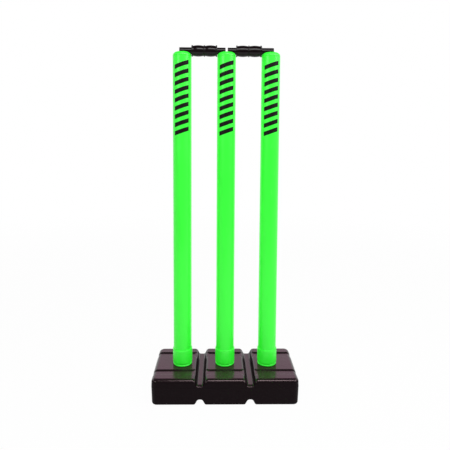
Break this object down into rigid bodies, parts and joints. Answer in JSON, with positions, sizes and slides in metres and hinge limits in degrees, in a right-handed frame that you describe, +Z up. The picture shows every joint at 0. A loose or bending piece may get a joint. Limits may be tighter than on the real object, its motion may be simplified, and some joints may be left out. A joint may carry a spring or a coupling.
{
  "type": "cricket stumps",
  "caption": "Free-standing plastic cricket stumps: green stumps in a weighted moulded base, with black bails resting across their tops.",
  "frame": {"origin": "on the ground, under the middle of the base", "axes": "+Z up along the stumps, +X along the row of stumps to the right, -Y towards the bowler's side that the picture shows"},
  "size_m": [0.3134, 0.153, 0.7598],
  "materials": {
    "neon_green_plastic": "bright neon green, smooth and glossy",
    "base_black_plastic": "blow-moulded black with a warm tint, glossy with a faint moulded waviness",
    "bail_black_plastic": "turned-looking black, semi-gloss",
    "bung_black_plastic": "black, satin",
    "seal_rubber": "dull dark grey rubber",
    "sand": "loose dry sand"
  },
  "bodies": {
    "base": {"base_shell": "base_black_plastic", "sand_ballast": "sand"},
    "filler_plug": {"filler_bung": "bung_black_plastic", "filler_seal": "seal_rubber"},
    "stump_left": {"stump_left_shaft": "neon_green_plastic", "stump_left_top_cap": "neon_green_plastic", "stump_left_foot": "neon_green_plastic"},
    "stump_middle": {"stump_middle_shaft": "neon_green_plastic", "stump_middle_top_cap": "neon_green_plastic", "stump_middle_foot": "neon_green_plastic"},
    "stump_right": {"stump_right_shaft": "neon_green_plastic", "stump_right_top_cap": "neon_green_plastic", "stump_right_foot": "neon_green_plastic"},
    "bail_left": {"bail_left": "bail_black_plastic"},
    "bail_right": {"bail_right": "bail_black_plastic"}
  },
  "joints": [
    {"name": "stump_middle_lift", "type": "slide", "parent": "base", "child": "stump_middle", "axis": [0, 0, 1], "range_m": [0, 0.06]},
    {"name": "stump_left_lift", "type": "slide", "parent": "base", "child": "stump_left", "axis": [0, 0, 1], "range_m": [0, 0.06]},
    {"name": "stump_right_lift", "type": "slide", "parent": "base", "child": "stump_right", "axis": [0, 0, 1], "range_m": [0, 0.06]},
    {"name": "bail_left_lift", "type": "slide", "parent": "stump_middle", "child": "bail_left", "axis": [0, 0, 1], "range_m": [0, 0.05]},
    {"name": "bail_right_lift", "type": "slide", "parent": "stump_middle", "child": "bail_right", "axis": [0, 0, 1], "range_m": [0, 0.05]},
    {"name": "filler_bung_pull", "type": "slide", "parent": "base", "child": "filler_plug", "axis": [0, 1, 0], "range_m": [0, 0.03]}
  ],
  "couplings": [
    {"joint": "stump_left_lift", "follows": "stump_middle_lift", "ratio": 1},
    {"joint": "stump_right_lift", "follows": "stump_middle_lift", "ratio": 1}
  ]
}
